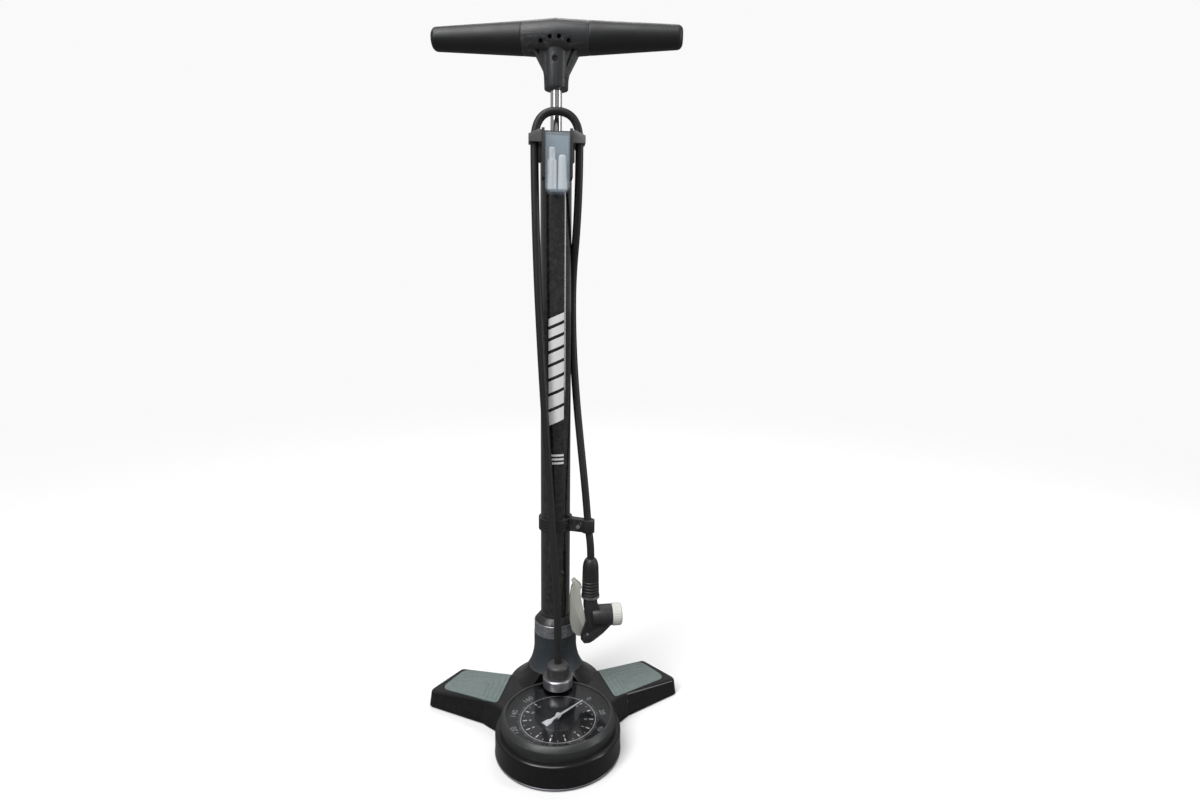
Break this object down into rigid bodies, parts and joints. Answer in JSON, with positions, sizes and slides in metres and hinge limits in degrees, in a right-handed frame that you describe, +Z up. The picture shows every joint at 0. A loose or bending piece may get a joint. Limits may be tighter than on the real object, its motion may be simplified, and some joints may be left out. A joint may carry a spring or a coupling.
{
  "type": "floor bike pump",
  "caption": "Upright bicycle pump with a winged base, a large round gauge on the base, a T handle, and a hose with a lever head clipped at the side.",
  "frame": {"origin": "on the floor under the barrel's axis, at the middle rubber foot", "axes": "+Z up along the barrel and rod; -Y towards the gauge and the user; +X to the right, the side with the hose head"},
  "size_m": [0.2794, 0.1944, 0.7201],
  "materials": {
    "barrel_paint": "gloss black powder coat",
    "white_nylon": "natural moulded nylon",
    "seal_rubber": "moulded rubber",
    "bright_steel": "zinc plated",
    "black_steel": "black oxide",
    "brass": "turned brass",
    "slate_plastic": "satin slate moulding",
    "trim_metal": "metallic grey-blue paint",
    "black_plastic": "satin black moulding",
    "base_cover_plastic": "matt moulding",
    "pad_rubber": "grey-green moulded rubber",
    "bezel_plastic": "matt dark grey moulding",
    "clear_lens": "clear moulded lens",
    "dial_black": "printed black face",
    "needle_white": "white enamel",
    "outlet_metal": "satin turned metal",
    "hub_plastic": "satin dark grey moulding",
    "hose_rubber": "smooth extruded rubber",
    "cap_plastic": "textured grey moulding",
    "clear_plastic": "clear moulded plastic",
    "adapter_metal": "plated metal",
    "adapter_white": "white moulding",
    "rod_chrome": "hard chrome",
    "grip_plastic": "fine textured moulding",
    "chuck_plastic": "satin black moulding",
    "lever_grey": "satin warm grey moulding"
  },
  "bodies": {
    "root": {"barrel_tube": "barrel_paint", "valve_block": "white_nylon", "barrel_seal": "seal_rubber", "valve_spring": "bright_steel", "spring_seat": "brass", "outlet_pipe": "brass", "gauge_pipe": "brass", "tower_collar": "slate_plastic", "collar_band": "trim_metal", "barrel_nut": "black_plastic", "base_shell": "black_plastic", "base_cover": "base_cover_plastic", "cover_screws": "bright_steel", "rubber_feet": "seal_rubber", "foot_pad_right": "pad_rubber", "foot_pad_left": "pad_rubber", "gauge_case": "black_plastic", "gauge_bezel": "bezel_plastic", "gauge_lens": "clear_lens", "gauge_dial": "dial_black", "gauge_movement": "brass", "bourdon_tube": "brass", "bourdon_block": "brass", "outlet_elbow": "outlet_metal", "hose_nut": "hub_plastic", "hose": "hose_rubber", "clamp_band": "black_plastic", "clamp_screw": "bright_steel", "barrel_cap": "cap_plastic", "rod_bush": "white_nylon", "rod_wiper": "seal_rubber", "hose_bracket": "cap_plastic", "hose_relief": "hose_rubber", "relief_ring": "outlet_metal", "chuck_body": "chuck_plastic", "chuck_seal": "seal_rubber", "nozzle_nut": "lever_grey", "lever_pin": "bright_steel"},
    "piston": {"piston_body": "white_nylon", "piston_cup": "seal_rubber", "piston_screw": "bright_steel"},
    "handle": {"piston_rod": "rod_chrome", "stop_bumper": "seal_rubber", "handle_hub": "hub_plastic", "handle_screw": "black_steel", "grip_right": "grip_plastic", "grip_left": "grip_plastic"},
    "needle": {"gauge_needle": "needle_white"},
    "lever": {"chuck_lever": "lever_grey"},
    "plunger": {"chuck_plunger": "white_nylon"},
    "accessory_box": {"accessory_case": "clear_plastic", "stepped_adapter": "adapter_metal", "cone_adapter": "adapter_white"},
    "ball": {"check_ball": "bright_steel"}
  },
  "joints": [
    {"name": "handle_slide", "type": "slide", "parent": "root", "child": "piston", "axis": [0, 0, 1], "range_m": [-0.04, 0.46]},
    {"name": "handle_swivel", "type": "hinge", "parent": "piston", "child": "handle", "pos_m": [0, 0, 0.7], "axis": [0, 0, 1], "continuous": true},
    {"name": "needle_turn", "type": "hinge", "parent": "root", "child": "needle", "pos_m": [0, -0.08, 0.033], "axis": [0, 0, 1], "range_deg": [-270, 0], "stiffness_Nm_per_rad": 0.0001},
    {"name": "lever_turn", "type": "hinge", "parent": "root", "child": "lever", "pos_m": [0.03301, -0.02108, 0.093], "axis": [0.0698, -0.9976, 0], "range_deg": [0, 8]},
    {"name": "plunger_slide", "type": "slide", "parent": "root", "child": "plunger", "axis": [0.9976, 0.0698, 0], "range_m": [0, 0.0006]},
    {"name": "case_slide", "type": "slide", "parent": "root", "child": "accessory_box", "axis": [0, 0, -1], "range_m": [0, 0.045]},
    {"name": "ball_lift", "type": "slide", "parent": "root", "child": "ball", "axis": [0, 0, -1], "range_m": [0, 0.0015], "stiffness_N_per_m": 60, "springref_m": -0.001, "deforming": ["valve_spring"]}
  ],
  "couplings": [
    {"joint": "plunger_slide", "follows": "lever_turn", "m_per_rad": 0.004}
  ]
}
